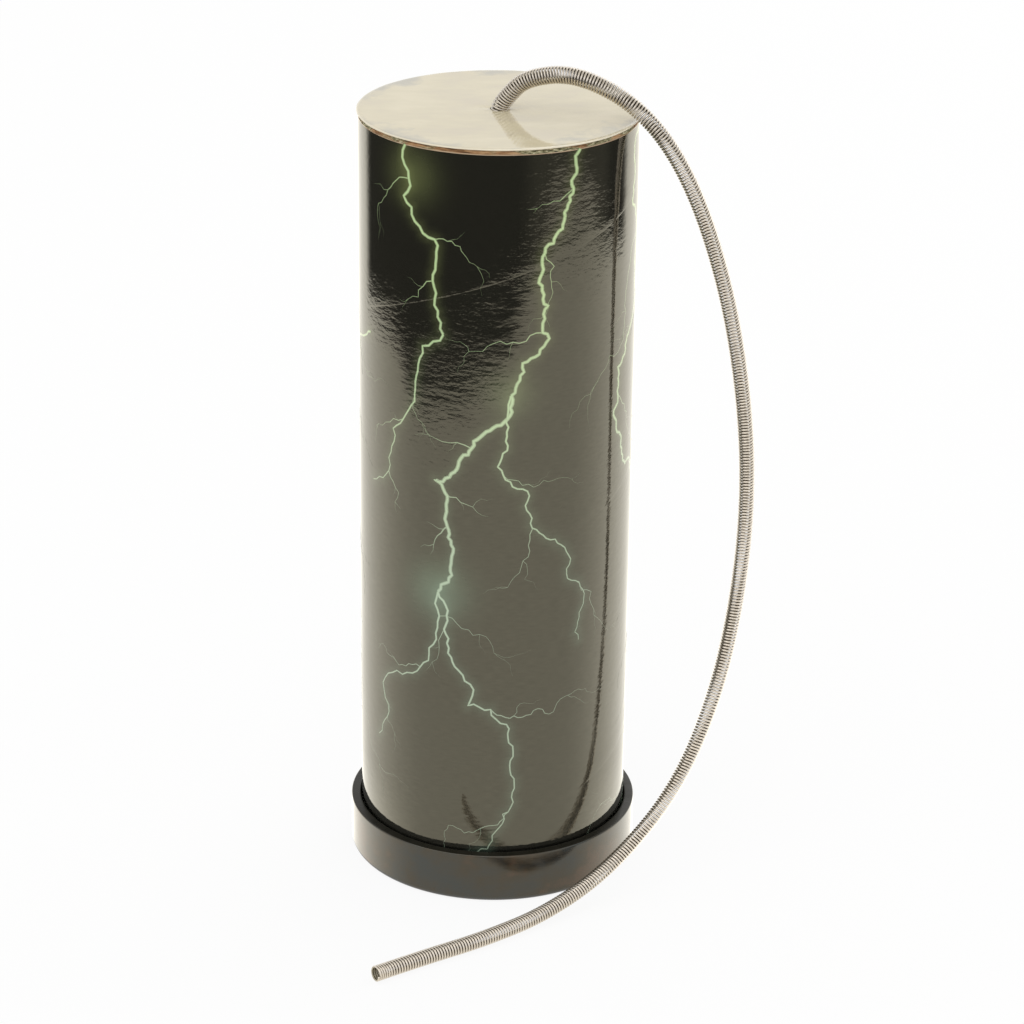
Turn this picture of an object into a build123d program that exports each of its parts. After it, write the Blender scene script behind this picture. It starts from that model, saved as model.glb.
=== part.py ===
from build123d import *
import os

import numpy as np

# Thunder tube: a wound paper tube with a film head, a foot ring and a long spring through the head.
# Millimetres. The origin is the middle of the foot ring's flat underside, with +Z up the tube.

# Tube, from the outside in
TUBE_OD = 75.0
WRAP_THICKNESS = 0.2
CORE_WALL = 2.4
LINER_THICKNESS = 0.4
HEAD_TOP = 217.4
WRAP_SETBACK = 1.5
LAP_WIDTH = 9.0

# Head and the glue under it
HEAD_THICKNESS = 0.4
HEAD_OVERHANG = 0.4
GLUE_THICKNESS = 0.2

# Foot ring
RING_WALL = 2.7
RING_HEIGHT = 14.5
RING_FLOOR = 2.5
RING_LIP = 3.2
RING_CLEARANCE = 0.1
RING_TOP_ROUND = 0.4
RING_FOOT_ROUND = 1.5
RING_LEAD_IN = 0.5
FLATS_PER_ROUND = 2

# Spring, wound with fewer turns than the real one's close winding, of three-sided wire
SPRING_OD = 4.4
WIRE_DIA = 0.8
WIRE_SIDES = 3
CURLS = 48
LEAD_LENGTH = 3.0
SPRING_CLEARANCE = 0.3
TIP_CLEARANCE = 0.2

# Anchor that holds the spring's end under the head
FLANGE_OD = 14.0
FLANGE_THICKNESS = 1.0
SLEEVE_WALL = 1.3
SOCKET_DEPTH = 8.5
SOCKET_FLOOR = 1.5
SCREW_CLEARANCE = 0.2
SCREW_REACH = 5.0
SCREW_HEAD_OD = 4.0
SCREW_HEAD_HEIGHT = 1.6
SCREW_HEAD_BEVEL = 0.6
SCREW_POINT = 1.0

# Worked out from the sizes above
WRAP_R = TUBE_OD / 2
CORE_R = WRAP_R - WRAP_THICKNESS
LINER_R = CORE_R - CORE_WALL
BORE_R = LINER_R - LINER_THICKNESS
TUBE_FOOT = RING_FLOOR
HEAD_BOTTOM = HEAD_TOP - HEAD_THICKNESS
TUBE_TOP = HEAD_BOTTOM - GLUE_THICKNESS
HEAD_R = WRAP_R + HEAD_OVERHANG
RING_BORE_R = WRAP_R + WRAP_THICKNESS + RING_CLEARANCE
RING_R = RING_BORE_R + RING_WALL
COIL_R = (SPRING_OD - WIRE_DIA) / 2
SOCKET_R = SPRING_OD / 2 + SPRING_CLEARANCE
SLEEVE_R = SOCKET_R + SLEEVE_WALL
SOCKET_FOOT = HEAD_BOTTOM - SOCKET_DEPTH
BUSHING_FOOT = SOCKET_FOOT - SOCKET_FLOOR
SCREW_R = SPRING_OD / 2 - WIRE_DIA - SCREW_CLEARANCE
SCREW_HOLE_R = SCREW_R + SCREW_CLEARANCE
TIP_HEIGHT = SPRING_OD / 2 + TIP_CLEARANCE

# Control points of the spring's line: up out of the socket, over the rim, round and down to the tip
ROUTE = [
    (0, 0, SOCKET_FOOT),
    (0, 0, HEAD_TOP - 3.4),
    (0, 0, HEAD_TOP),
    (1.7, -0.6, HEAD_TOP + 2.9),
    (7, -2.5, HEAD_TOP + 9.2),
    (20.7, -7, HEAD_TOP + 11.8),
    (WRAP_R + 0.4, -12.5, HEAD_TOP + 3.5),
    (WRAP_R + 13.3, -11.5, HEAD_TOP - 15.4),
    (WRAP_R + 23.6, -8.5, HEAD_TOP - 45.1),
    (WRAP_R + 29.7, -7.5, HEAD_TOP * 0.65),
    (WRAP_R + 32.3, -5.5, HEAD_TOP * 0.51),
    (WRAP_R + 30.8, -6, HEAD_TOP * 0.37),
    (WRAP_R + 25, -12, 50.8),
    (WRAP_R + 13.9, -22.5, 26),
    (WRAP_R - 3.8, 1.2 - WRAP_R, 9.4),
    (15.5, -14.2 - WRAP_R, TIP_HEIGHT + 0.6),
    (-2.5, -28.1 - WRAP_R, TIP_HEIGHT),
    (-17.3, -37.3 - WRAP_R, TIP_HEIGHT),
    (-30.9, -46.7 - WRAP_R, TIP_HEIGHT),
]

# How finely the spring's line and its turns are followed
STEPS_PER_RUN = 80
ARCS_PER_CURL = 4
TEST_POINTS_PER_CURL = 24


def tube(inner_r, outer_r, low, high):
    """A plain round tube standing on the plane z = low."""
    section = Circle(outer_r) - Circle(inner_r)
    return Pos(0, 0, low) * extrude(section, high - low)


def turned(points):
    """A turned piece from its half section, given as (radius, height) points."""
    section = make_face(Polyline(*[(r, 0, z) for r, z in points], close=True))
    return revolve(section, Axis.Z)


def eased(centre, radius, start_angle):
    """Points of a quarter circle in a half section, counted from start_angle and taken in flats."""
    angles = np.radians(start_angle + np.linspace(0, 90, FLATS_PER_ROUND + 1))
    return [(centre[0] + radius * np.cos(a), centre[1] + radius * np.sin(a)) for a in angles]


# Inner liner
def make_inner_liner():
    return tube(BORE_R, LINER_R, TUBE_FOOT, TUBE_TOP)


# Tube core
def make_tube_core():
    return tube(LINER_R, CORE_R, TUBE_FOOT, TUBE_TOP)


# Printed wrap: one turn of sheet, with its end lapped over its start at the back
def make_printed_wrap():
    top = HEAD_TOP - WRAP_SETBACK
    sheet = tube(CORE_R, WRAP_R, TUBE_FOOT, top)
    second_turn = tube(WRAP_R, WRAP_R + WRAP_THICKNESS, TUBE_FOOT, top)
    lap_zone = Pos(0, WRAP_R, top / 2) * Box(LAP_WIDTH, WRAP_R, top)
    return sheet + (second_turn & lap_zone)


# Drum head: a film disc with the hole that the spring comes out of
def make_drum_head():
    return tube(SOCKET_R, HEAD_R, HEAD_BOTTOM, HEAD_TOP)


# Head glue: the adhesive ring on the tube's end
def make_head_glue():
    return tube(BORE_R, CORE_R, TUBE_TOP, HEAD_BOTTOM)


# Foot ring: an L section, whose lip carries the tube's end and leaves the bore open
def make_base_ring():
    lip_r = RING_BORE_R - RING_LIP
    foot_round = min(RING_FOOT_ROUND, RING_WALL)
    top_round = min(RING_TOP_ROUND, RING_WALL - RING_LEAD_IN)
    return turned([
        (lip_r, 0),
        *eased((RING_R - foot_round, foot_round), foot_round, -90),
        *eased((RING_R - top_round, RING_HEIGHT - top_round), top_round, 0),
        (RING_BORE_R + RING_LEAD_IN, RING_HEIGHT),
        (RING_BORE_R, RING_HEIGHT - RING_LEAD_IN),
        (RING_BORE_R, RING_FLOOR),
        (lip_r, RING_FLOOR),
    ])


# Anchor bushing: a flanged cup under the film
def make_anchor_bushing():
    flange_low = HEAD_BOTTOM - FLANGE_THICKNESS
    return turned([
        (SCREW_HOLE_R, BUSHING_FOOT),
        (SLEEVE_R, BUSHING_FOOT),
        (SLEEVE_R, flange_low),
        (FLANGE_OD / 2, flange_low),
        (FLANGE_OD / 2, HEAD_BOTTOM),
        (SOCKET_R, HEAD_BOTTOM),
        (SOCKET_R, SOCKET_FOOT),
        (SCREW_HOLE_R, SOCKET_FOOT),
    ])


# Anchor screw: a pan head under the bushing and a pointed shank up in the spring's bore
def make_anchor_screw():
    tip = SOCKET_FOOT + SCREW_REACH
    head_low = BUSHING_FOOT - SCREW_HEAD_HEIGHT
    head_r = SCREW_HEAD_OD / 2
    return turned([
        (0, head_low),
        (head_r - SCREW_HEAD_BEVEL, head_low),
        (head_r, head_low + SCREW_HEAD_BEVEL),
        (head_r, BUSHING_FOOT),
        (SCREW_R, BUSHING_FOOT),
        (SCREW_R, tip - SCREW_POINT),
        (0, tip),
    ])


# Spring line: the clamped quadratic B-spline on the route's points, as one parabola to each inner point
def spring_line():
    points = np.array(ROUTE, dtype=float)
    joints = (points[1:-2] + points[2:-1]) / 2
    starts = np.vstack([points[:1], joints])
    ends = np.vstack([joints, points[-1:]])
    line = []
    for start, bend, end in zip(starts, points[1:-1], ends):
        for u in np.arange(STEPS_PER_RUN) / STEPS_PER_RUN:
            line.append((1 - u) ** 2 * start + 2 * u * (1 - u) * bend + u**2 * end)
    line.append(points[-1])
    return np.array(line)


def unit(vector):
    return vector / np.linalg.norm(vector)


class WoundWire:
    """The wire's centre line: turns round the spring's line, on side directions carried along untwisted."""

    def __init__(self):
        self.line = spring_line()
        steps = np.linalg.norm(np.diff(self.line, axis=0), axis=1)
        self.along = np.concatenate([[0.0], np.cumsum(steps)])
        self.length = self.along[-1]
        self.pitch = (self.length - WIRE_DIA - LEAD_LENGTH / 2) / CURLS
        forward = np.gradient(self.line, self.along, axis=0)
        side = np.array([1.0, 0.0, 0.0])
        sides = []
        overs = []
        for direction in forward:
            direction = unit(direction)
            side = unit(side - direction * (side @ direction))
            sides.append(side)
            overs.append(np.cross(direction, side))
        self.sides = np.array(sides)
        self.overs = np.array(overs)

    def turns_at(self, distance):
        """Turns made so far. The wire leaves its seat straight and eases into full turns."""
        wound = distance - WIRE_DIA
        if wound < LEAD_LENGTH:
            return max(wound, 0) ** 2 / (2 * LEAD_LENGTH * self.pitch)
        return (wound - LEAD_LENGTH / 2) / self.pitch

    def distance_at(self, turns):
        lead_turns = LEAD_LENGTH / (2 * self.pitch)
        if turns < lead_turns:
            return WIRE_DIA + (2 * LEAD_LENGTH * self.pitch * turns) ** 0.5
        return WIRE_DIA + LEAD_LENGTH / 2 + turns * self.pitch

    def between(self, values, distance):
        return np.array([np.interp(distance, self.along, values[:, i]) for i in range(3)])

    def point(self, distance):
        angle = 2 * np.pi * self.turns_at(distance)
        side = self.between(self.sides, distance)
        over = self.between(self.overs, distance)
        return self.between(self.line, distance) + COIL_R * (np.cos(angle) * side + np.sin(angle) * over)

    def direction(self, distance):
        step = self.pitch / 200
        low = max(distance - step, 0)
        high = min(distance + step, self.length)
        return unit(self.point(high) - self.point(low))


def biarc(start, leaving, end, arriving):
    """Two tangent arcs from start to end that keep both given directions."""
    chord = end - start
    both = leaving + arriving
    slope = chord @ both
    bend = 2 * (1 - leaving @ arriving)
    reach = (-slope + (slope**2 + bend * (chord @ chord)) ** 0.5) / bend
    first = start + reach * leaving
    second = end - reach * arriving
    middle = (first + second) / 2
    return [
        Edge.make_tangent_arc(tuple(start), tuple(leaving), tuple(middle)),
        Edge.make_tangent_arc(tuple(middle), tuple(second - first), tuple(end)),
    ]


def least_gap(wire):
    """The clear distance between the wire and itself, more than half a turn apart."""
    count = CURLS * TEST_POINTS_PER_CURL
    points = np.array([wire.point(wire.distance_at(CURLS * i / count)) for i in range(count + 1)])
    apart = TEST_POINTS_PER_CURL // 2
    nearest = min(
        np.linalg.norm(points[i + apart:] - points[i], axis=1).min() for i in range(len(points) - apart)
    )
    return nearest - WIRE_DIA


# Spring: one wire, straight at both ends, swept along arcs of a quarter turn
def make_spring():
    wire = WoundWire()
    stations = [wire.distance_at(i / ARCS_PER_CURL) for i in range(CURLS * ARCS_PER_CURL + 1)]
    points = [wire.point(s) for s in stations]
    directions = [np.array([0.0, 0.0, 1.0])] + [wire.direction(s) for s in stations[1:]]
    seat = points[0] - WIRE_DIA * directions[0]
    tip = points[-1] + WIRE_DIA * directions[-1]
    path = [Edge.make_line(tuple(seat), tuple(points[0]))]
    for i in range(len(points) - 1):
        path += biarc(points[i], directions[i], points[i + 1], directions[i + 1])
    path.append(Edge.make_line(tuple(points[-1]), tuple(tip)))
    print(f"spring line {wire.length:.1f} mm, pitch {wire.pitch:.2f} mm, least gap {least_gap(wire):.2f} mm")
    section = Plane(origin=tuple(seat), z_dir=(0, 0, 1)) * RegularPolygon(WIRE_DIA / 2, WIRE_SIDES)
    return sweep(section, path=Wire(path), clean=False)


NODES = {
    "inner_liner": make_inner_liner,
    "tube_core": make_tube_core,
    "printed_wrap": make_printed_wrap,
    "drum_head": make_drum_head,
    "head_glue": make_head_glue,
    "base_ring": make_base_ring,
    "anchor_bushing": make_anchor_bushing,
    "anchor_screw": make_anchor_screw,
    "spring": make_spring,
}

os.makedirs("parts", exist_ok=True)
for node, make in NODES.items():
    export_step(make(), f"parts/{node}.step")
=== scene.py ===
"""Thunder tube: the looks of a printed paper tube with a film head, a foot ring and a long steel spring."""
import math
import random

import bpy
import numpy as np
from mathutils import Matrix, Vector
from mathutils.kdtree import KDTree
from mathutils.noise import noise as perlin


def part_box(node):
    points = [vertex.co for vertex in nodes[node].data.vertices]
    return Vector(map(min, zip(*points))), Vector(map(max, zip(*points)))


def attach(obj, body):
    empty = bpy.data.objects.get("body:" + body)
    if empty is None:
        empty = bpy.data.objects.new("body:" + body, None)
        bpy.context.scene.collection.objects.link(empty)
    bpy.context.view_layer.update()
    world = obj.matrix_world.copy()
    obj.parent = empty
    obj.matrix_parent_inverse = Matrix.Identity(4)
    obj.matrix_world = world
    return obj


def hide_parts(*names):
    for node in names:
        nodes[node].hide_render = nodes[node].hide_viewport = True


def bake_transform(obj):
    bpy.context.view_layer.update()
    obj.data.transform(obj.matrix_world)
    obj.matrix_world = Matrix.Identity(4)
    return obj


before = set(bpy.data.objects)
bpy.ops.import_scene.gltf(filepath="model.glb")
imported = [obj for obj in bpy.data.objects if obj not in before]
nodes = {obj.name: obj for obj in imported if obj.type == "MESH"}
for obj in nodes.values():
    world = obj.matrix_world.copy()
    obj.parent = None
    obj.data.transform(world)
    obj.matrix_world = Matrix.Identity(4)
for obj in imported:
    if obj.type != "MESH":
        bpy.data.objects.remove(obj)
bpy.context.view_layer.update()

# Sizes in metres, with the heights where most pieces start and end read from the frame
WRAP_R = 0.0375
WRAP_THICKNESS = 0.0002
CORE_R = WRAP_R - WRAP_THICKNESS
LAP_WIDTH = 0.009
HEAD_R = 0.0379
HOLE_R = 0.00248
RING_R = 0.0405
RING_BORE_R = 0.0378
RING_LIP_R = 0.0346
RING_FLOOR = 0.0025
WRAP_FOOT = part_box("printed_wrap")[0].z
WRAP_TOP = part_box("printed_wrap")[1].z
CORE_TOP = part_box("tube_core")[1].z
HEAD_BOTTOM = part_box("drum_head")[0].z
HEAD_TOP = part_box("drum_head")[1].z
RING_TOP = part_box("base_ring")[1].z
AROUND = 2 * math.pi * WRAP_R

# Camera, at the photograph's place and angle
CAMERA_PLACE = (0.0, -0.87525, 0.47074)
CAMERA_YAW = math.radians(0.306)
CAMERA_PITCH = math.radians(22.895)
CAMERA_ROLL = math.radians(0.675)
CAMERA_LENS = 119.93
CAMERA_CLIP = 0.01

# Spring: control points of its line, and where it bends at the root
SPRING_ROUTE = [
    (0.0, 0.0, 0.2085),
    (0.0, 0.0, 0.2140),
    (0.0, 0.0, 0.2174),
    (0.0017, -0.0006, 0.2203),
    (0.0070, -0.0025, 0.2266),
    (0.0207, -0.0070, 0.2292),
    (0.0379, -0.0125, 0.2209),
    (0.0508, -0.0115, 0.2020),
    (0.0611, -0.0085, 0.1723),
    (0.0672, -0.0075, 0.1413),
    (0.0698, -0.0055, 0.1109),
    (0.0683, -0.0060, 0.0804),
    (0.0625, -0.0120, 0.0508),
    (0.0514, -0.0225, 0.0260),
    (0.0337, -0.0363, 0.0094),
    (0.0155, -0.0517, 0.0030),
    (-0.0025, -0.0656, 0.0024),
    (-0.0173, -0.0748, 0.0024),
    (-0.0309, -0.0842, 0.0024),
]
ROUTE_ORDER = 3
ROUTE_STEPS = 40

# Spring's winding: its outer diameter, pitch and shine are (share of the length, value) pairs
SPRING_ODS = [
    (0.0, 0.0048), (0.10, 0.0048), (0.16, 0.0044), (0.62, 0.0044),
    (0.72, 0.0041), (0.82, 0.0043), (1.0, 0.0044),
]
PITCHES = [
    (0.0, 0.00080), (0.12, 0.00082), (0.22, 0.00089),
    (0.985, 0.00085), (0.995, 0.00066), (1.0, 0.00066),
]
WIRE_SHINE = [(0.0, 0.78), (0.14, 0.82), (0.22, 1.0), (0.75, 1.0), (0.85, 0.95), (1.0, 0.95)]
WIRE_DIA = 0.00062
WIRE_SIDES = 8
STEPS_PER_TURN = 16
TIP_TURNS = 6
# Wire colour round its section: painted shade, dark on the side inside the coils (less dark in the last
# turns at the tip), and the metal's own colour on the side facing out
WIRE_OUTSIDE = np.array([0.86, 0.79, 0.70])
WIRE_SHADED_INSIDE = np.array([0.22, 0.19, 0.15])
WIRE_TIP_SHADED_INSIDE = np.array([0.40, 0.37, 0.28])
SHADE_SLOPE = 0.75
SHADE_MIDDLE = 0.45

# Lightning print: (angle from the front in degrees, height) of each bolt's start and end, and its width
BOLTS = [
    ((34, 0.2159), (6, 0.1500), 0.0013),
    ((6, 0.1500), (-24, 0.0920), 0.0014),
    ((-24, 0.0920), (-10, 0.0120), 0.0009),
    ((-24, 0.0920), (-58, 0.0420), 0.0008),
    ((6, 0.1500), (38, 0.0760), 0.0008),
    ((-40, 0.2159), (-22, 0.1660), 0.0011),
    ((-22, 0.1660), (-62, 0.1180), 0.0009),
    ((84, 0.2159), (98, 0.0900), 0.0012),
    ((98, 0.0900), (76, 0.0120), 0.0009),
    ((128, 0.2159), (112, 0.1300), 0.0012),
    ((112, 0.1300), (140, 0.0300), 0.0010),
    ((205, 0.2159), (178, 0.1400), 0.0013),
    ((178, 0.1400), (206, 0.0120), 0.0009),
    ((178, 0.1400), (152, 0.0800), 0.0008),
    ((262, 0.2159), (240, 0.1200), 0.0012),
    ((240, 0.1200), (268, 0.0400), 0.0010),
    ((296, 0.1600), (280, 0.0700), 0.0008),
]
BOLT_SEED = 11
BOLT_SWAY = 0.22
BOLT_STEP = 0.0022
BOLT_LEVEL = 2
BOLT_FOOT_GAP = 0.001
BOLT_HEAD_GAP = 0.0001
MAIN_WIDTH = 0.0009
MAIN_TAPER = 0.85
SIDE_TAPER = 0.4
TIP_DIMMING = 0.45

# Twigs: how many leave a stroke of each level, where along it, and their size and light beside the stroke's
TWIGS = {2: 3, 1: 2}
TWIG_FIRST = 0.1
TWIG_SPAN = 0.8
TWIG_SHIFT = (0.1, 0.9)
TWIG_TURN = (25, 60)
TWIG_REACH = (0.18, 0.5)
TWIG_WIDTH = (0.32, 0.5)
TWIG_LIGHT = 0.75
TWIG_TAPER = 0.1
TWIG_GAP = 0.004
HEADING_STEPS = 6

# Ink: its lifts off the sheet, its section, its glow, and bright spots with their place, reach and strength
# The colour layer holds the print's colours, the spring wire's painted shade and the gloss cards' light
PAINT_LAYER = "ink"
WIDE_STROKE = 0.0007
INK_LIFT = 0.00003
TWIG_LIFT = 0.000014
INK_SINK = 0.000005
STRIP_STEP = 0.00000005
LAP_BRIDGE = 2
INK_ACROSS = np.array([-1.0, -0.5, 0.0, 0.5, 1.0])
INK_SHARE = np.array([0.0, 0.7, 1.0, 0.7, 0.0])
GLOW_REACH = 0.0017
GLOW_STRENGTH = 0.22
HOT_SPOTS = [
    ((6, 0.1500), 0.0060, 0.35),
    ((-24, 0.0920), 0.0080, 0.60),
    ((-37, 0.2080), 0.0070, 0.40),
    ((112, 0.1300), 0.0070, 0.40),
    ((178, 0.1400), 0.0080, 0.50),
    ((240, 0.1200), 0.0070, 0.40),
]
INK_BLACK = np.array([0.0105, 0.0105, 0.0085])
HIGH_BOLT = np.array([0.60, 0.79, 0.40])
LOW_BOLT = np.array([0.49, 0.63, 0.47])
HIGH_GLOW = np.array([0.19, 0.22, 0.08])
LOW_GLOW = np.array([0.13, 0.21, 0.15])
LOW_COLOUR_TOP = 0.09
COLOUR_CHANGE = 0.09

# Sheet: its points, its hand-cut upper edge, and the unevenness of the wall under it
WRAP_ROWS = 150
WRAP_COLUMNS = 241
LAP_COLUMNS = 12
CUT_BEVEL = 0.0003
CUT_INK_END = 0.8 * CUT_BEVEL
CUT_INSET = 0.00005
CUT_WAVE = 0.00004
CUT_WAVES = (3, 7, 13, 29, 53)
CUT_SEED = 3
CUT_PAPER = np.array([0.44, 0.31, 0.20])
WALL_WAVE = 0.00007
WAVES_PER_METRE = 45

# Wound seam of the core, which shows through the wrap: lifts at offsets that are counted in half widths
SEAM_SLOPE = 0.34
SEAM_AT_FRONT = 0.1841
SEAM_WIDTH = 0.0060
SEAM_ACROSS = [-1.0, -0.92, -0.84, 0.0, 1.0]
SEAM_LIFTS = [-0.000004, 0.000011, 0.000019, 0.000012, -0.000004]
SEAM_TURNS = range(-3, 2)
SEAM_DECIMALS = 7

# Head: the film's dip, puckers and swell, its rolled edge, and the steps of its section
HEAD_DIP = 0.00018
DIP_REACH = 0.0025
PUCKER_HEIGHT = 0.00005
PUCKER_COUNT = 5
PUCKER_PHASE = 0.6
PUCKER_REACH = 0.006
SWELL_HEIGHT = 0.00004
SWELL_COUNT = 2
SWELL_PHASE = 1.1
ROLL_DEPTH = 0.00016
ROLL_WIDTH = 0.0014
HEAD_SEGMENTS = 192
LIP_STEP = 0.0002
LIP_STEPS = 6
DISC_START = 0.0040
DISC_STEPS = 26
EDGE_ZONE = 0.0020
EDGE_START = 0.0018
EDGE_STEPS = 9
EDGE_ROUND = 0.00008
EDGE_BREAK = 0.00006
TRIM_WAVE = 0.00003
TRIM_WAVES = (2, 5, 11, 23)
TRIM_SEED = 5

# Raw rim: its points, and how far the torn board stands out from the core's radius
RIM_SEGMENTS = 420
RIM_ROWS = 7
RIM_SEED = 8
RIM_OVERLAP = 0.0003
RIM_TOP_GAP = 0.00002
RIM_TUFTS = (0.00004, 0.00015)
RIM_SUNK = (-0.00008, -0.00008)
RIM_BACK = (-0.0005, -0.0005)

# Foot ring: the roundings of its section
RING_SEGMENTS = 256
FOOT_ROUND = 0.0015
TOP_ROUND = 0.0004
LEAD_IN = 0.0005
ROUND_MARGIN = 0.0002
FACING_UP = 0.7
CORNER_STEPS = 7

# Shading
SHARP_ANGLE = math.radians(40)
HEAD_SHARP_ANGLE = math.radians(50)
SHEET_GLOSS_TINT = (1.0, 0.955, 0.76, 1)
RING_GLOSS_TINT = (1.0, 0.94, 0.80, 1)

# Floor, world and lamps
FLOOR_SIZE = 10.0
FLOOR_COLOUR = (0.92, 0.92, 0.91, 1)
FLOOR_WHITE = 0.9
WORLD_LIGHT = 0.75
LAMP_AIM = Vector((0, 0, 0.1))

# Cards for the gloss: the floor card's light in front, beside the tube and at its foot, and one overhead
CARD_REACH = 4.0
CARD_HEIGHT = 0.0005
CARD_ANGLES = [*np.linspace(-90, 90, 91), *range(100, 270, 10)]
CARD_RUNS = [0.001, 0.01, 0.02, 0.03, 0.04, 0.06, 0.1, 0.2, *np.linspace(0.28, 0.66, 40), 0.8, CARD_REACH]
CARD_FRONT = 0.97
CARD_LEFT = 1.62
CARD_RIGHT = 1.76
CARD_FOOT = 2.25
CARD_SIDE_ANGLES = (30, 70)
CARD_FOOT_RUNS = (0.02, 0.06)
CARD_TINT = np.array([1.0, 0.965, 0.88])
OVERHEAD_CORNERS = [(-1.6, -2.2, 1.7), (1.6, -2.2, 1.7), (1.6, 1.6, 1.7), (-1.6, 1.6, 1.7)]
OVERHEAD_COLOUR = (0.80, 0.77, 0.70, 1)

# Dark room at the floor card's end: its sides in degrees, and the wall height at which it shows by angle
DARK_ROOM = np.array([0.055, 0.053, 0.044])
HAZY_ROOM = np.array([0.16, 0.155, 0.13])
HAZE_START = (8, 18)
HAZE_END = (46, 54)
DARK_LEFT = -68
DARK_RIGHT = 64
DARK_FADE = 3
DARK_BLUR = 0.04
DARK_EDGE = [
    (-70, 0.176), (-50, 0.166), (-38, 0.149), (-15, 0.150), (5, 0.164),
    (18, 0.186), (24, 0.201), (40, 0.202), (46, 0.192), (60, 0.188),
]


def add_object(name, data):
    piece = bpy.data.objects.new(name, data)
    bpy.context.scene.collection.objects.link(piece)
    return piece


def add_mesh(name, points, faces, material):
    mesh = bpy.data.meshes.new(name)
    mesh.from_pydata([tuple(p) for p in points], [], faces)
    mesh.materials.append(material)
    mesh.shade_smooth()
    return add_object(name, mesh)


def grid_faces(rows, columns, close_rows=False, close_columns=False):
    """Quads of a grid of points that are numbered along each row in turn."""
    faces = []
    for i in range(rows if close_rows else rows - 1):
        below = i * columns
        above = (i + 1) % rows * columns
        for j in range(columns if close_columns else columns - 1):
            beside = (j + 1) % columns
            faces.append((below + j, below + beside, above + beside, above + j))
    return faces


def full_turn(segments):
    """Angles of one turn, evenly apart."""
    return [2 * math.pi * j / segments for j in range(segments)]


def turned_point(radius, angle, height):
    return (radius * math.cos(angle), radius * math.sin(angle), height)


def round_corner(centre, radius, start, end):
    """Points of an arc of a half section, from one angle to another in degrees."""
    angles = np.radians(np.linspace(start, end, CORNER_STEPS))
    return [(centre[0] + radius * math.cos(a), centre[1] + radius * math.sin(a)) for a in angles]


def random_waves(counts, seed):
    """Waves round the tube: the count of each, and its random phase."""
    rng = random.Random(seed)
    return [(count, rng.uniform(0, 2 * math.pi)) for count in counts]


def wave_sum(waves, angle):
    return sum(math.sin(count * angle + phase) for count, phase in waves)


def wall_point(arc, height, radius):
    """A point of the tube's wall: arc is measured round from the front, towards +X."""
    angle = arc / WRAP_R
    return (radius * math.sin(angle), -radius * math.cos(angle), height)


def wall_radius(arc, height, lapped):
    """The wrap's radius: slightly uneven, and a sheet's thickness more where it laps at the back."""
    wave = WALL_WAVE * perlin(Vector(wall_point(arc, height, WRAP_R)) * WAVES_PER_METRE)
    return WRAP_R + wave + WRAP_THICKNESS * lapped


def round_the_wall(arcs):
    """The shorter way round the tube."""
    return (arcs + AROUND / 2) % AROUND - AROUND / 2


def before_lap(arc):
    """How far a place is from the lap's nearer edge: less than 0 on the lap."""
    return AROUND / 2 - LAP_WIDTH / 2 - abs(round_the_wall(arc))


def in_lap(arc):
    return before_lap(arc) < 0


def bridging_lap(arc):
    """The share of the lap's step that ink stands at: all of it near the lap, and none two steps off."""
    return min(max(LAP_BRIDGE - before_lap(arc) / BOLT_STEP, 0.0), 1.0)


def paint(piece, colours):
    """Stores one colour for each point of a piece."""
    layer = piece.data.color_attributes.new(PAINT_LAYER, "FLOAT_COLOR", "POINT")
    rgba = np.ones((len(colours), 4), np.float32)
    rgba[:, :3] = colours
    layer.data.foreach_set("color", rgba.ravel())


# Shader helpers
def new_material(name, **constants):
    """A material with some of its shader's sockets set, which are named with _ for a space."""
    material = bpy.data.materials.new(name)
    material.use_nodes = True
    tree = material.node_tree
    shader = tree.nodes["Principled BSDF"]
    for socket, value in constants.items():
        shader.inputs[socket.replace("_", " ")].default_value = value
    return material, tree, shader


def math_node(tree, operation, first, second):
    node = tree.nodes.new("ShaderNodeMath")
    node.operation = operation
    for socket, value in zip(node.inputs, (first, second)):
        if isinstance(value, (int, float)):
            socket.default_value = value
        else:
            tree.links.new(value, socket)
    return node.outputs[0]


def painted(tree):
    """The colours that paint has stored on the piece."""
    node = tree.nodes.new("ShaderNodeAttribute")
    node.attribute_name = PAINT_LAYER
    return node.outputs["Color"]


def object_place(tree, stretch=(1, 1, 1)):
    """The place in the object's own frame, in metres, stretched by a factor for each axis."""
    coords = tree.nodes.new("ShaderNodeTexCoord")
    mapping = tree.nodes.new("ShaderNodeMapping")
    mapping.inputs["Scale"].default_value = stretch
    tree.links.new(coords.outputs["Object"], mapping.inputs["Vector"])
    return mapping.outputs["Vector"]


def wall_place(tree, stretch):
    """The place on the unrolled wall, in metres: the arc from the front and the height, both stretched."""
    coords = tree.nodes.new("ShaderNodeTexCoord")
    split = tree.nodes.new("ShaderNodeSeparateXYZ")
    tree.links.new(coords.outputs["Object"], split.inputs[0])
    ahead = math_node(tree, "MULTIPLY", split.outputs["Y"], -1.0)
    angle = math_node(tree, "ARCTAN2", split.outputs["X"], ahead)
    join = tree.nodes.new("ShaderNodeCombineXYZ")
    tree.links.new(math_node(tree, "MULTIPLY", angle, WRAP_R * stretch[0]), join.inputs["X"])
    tree.links.new(math_node(tree, "MULTIPLY", split.outputs["Z"], stretch[1]), join.inputs["Z"])
    return join.outputs["Vector"]


def noise(tree, place, scale, detail=3.0, roughness=0.5):
    node = tree.nodes.new("ShaderNodeTexNoise")
    node.inputs["Scale"].default_value = scale
    node.inputs["Detail"].default_value = detail
    node.inputs["Roughness"].default_value = roughness
    tree.links.new(place, node.inputs["Vector"])
    return node.outputs["Fac"]


def wall_noise(tree, per_metre, detail=3.0, roughness=0.5):
    """Noise on the unrolled wall, with a scale round it and a scale up it."""
    return noise(tree, wall_place(tree, per_metre), 1.0, detail, roughness)


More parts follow.
